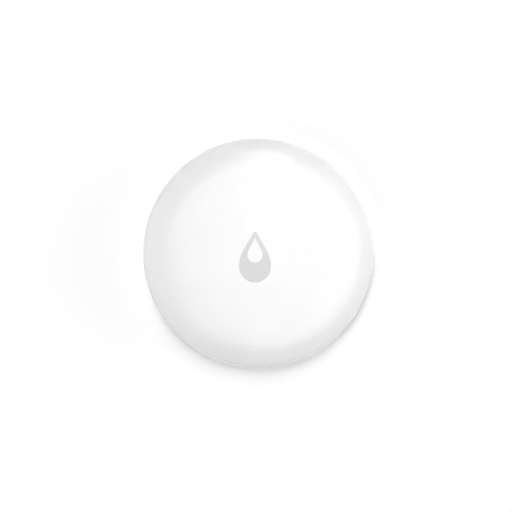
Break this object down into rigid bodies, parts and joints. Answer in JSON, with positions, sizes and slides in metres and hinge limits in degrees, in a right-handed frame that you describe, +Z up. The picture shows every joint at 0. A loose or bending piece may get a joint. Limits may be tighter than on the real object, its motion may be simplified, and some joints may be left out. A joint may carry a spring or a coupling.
{
  "type": "water leak sensor",
  "caption": "Round pebble-shaped floor sensor with a pressable glossy cover, metal water probes, level feet and a sealed bayonet battery cover.",
  "frame": {"origin": "on the floor, under the middle of the crown, at the level of the probe tips and feet", "axes": "+Z up out of the crown, +Y towards the point of the drop mark, +X to the right of the mark"},
  "size_m": [0.05, 0.05, 0.015],
  "materials": {
    "cover_gloss": "glossy injection-moulded white",
    "base_matte": "fine satin white moulding",
    "silicone": "soft grey silicone",
    "probe_steel": "polished stainless steel",
    "nut_brass": "turned brass",
    "screw_steel": "zinc plated",
    "cell_steel": "nickel plated, satin",
    "cell_plastic": "dark moulded grommet",
    "board_green": "solder mask over glass laminate",
    "contact_plate": "gold flashed spring bronze",
    "switch_black": "black moulded nylon",
    "switch_steel": "pressed steel",
    "chip_black": "matt moulded package",
    "crystal_metal": "nickel lid",
    "capacitor_tan": "fired ceramic with tinned ends",
    "resistor_black": "glazed black with tinned ends",
    "led_lens": "clear lens over a pale base",
    "trace_gold": "gold flashed copper"
  },
  "bodies": {
    "base": {"base_shell": "base_matte", "body_gasket": "silicone", "probe_left": "probe_steel", "probe_right": "probe_steel", "probe_seal_left": "silicone", "probe_seal_right": "silicone", "probe_nut_left": "nut_brass", "probe_nut_right": "nut_brass", "circuit_board": "board_green", "board_screws": "screw_steel", "cell_can": "cell_steel", "cell_grommet": "cell_plastic", "cell_cap": "cell_steel", "contact_positive_front": "contact_plate", "contact_positive_back": "contact_plate", "contact_negative": "contact_plate", "switch_housing": "switch_black", "switch_frame": "switch_steel", "switch_terminals": "switch_steel", "switch_dome": "switch_steel", "radio_chip": "chip_black", "crystal": "crystal_metal", "chip_capacitors": "capacitor_tan", "chip_resistors": "resistor_black", "indicator_led": "led_lens", "antenna_trace": "trace_gold"},
    "top_cover": {"top_cover": "cover_gloss"},
    "switch_plunger": {"switch_plunger": "switch_black"},
    "battery_cover": {"battery_cover": "base_matte", "battery_cover_seal": "silicone"}
  },
  "joints": [
    {"name": "cover_press", "type": "slide", "parent": "base", "child": "top_cover", "axis": [0, 0, -1], "range_m": [0, 0.00025], "stiffness_N_per_m": 300, "springref_m": -0.002},
    {"name": "plunger_press", "type": "slide", "parent": "base", "child": "switch_plunger", "axis": [0, 0, -1], "range_m": [0, 0.00025]},
    {"name": "battery_cover_turn", "type": "hinge", "parent": "base", "child": "battery_cover", "pos_m": [0, 0, 0.0008], "axis": [0, 0, -1], "range_deg": [0, 60]}
  ],
  "couplings": [
    {"joint": "plunger_press", "follows": "cover_press", "ratio": 1}
  ]
}
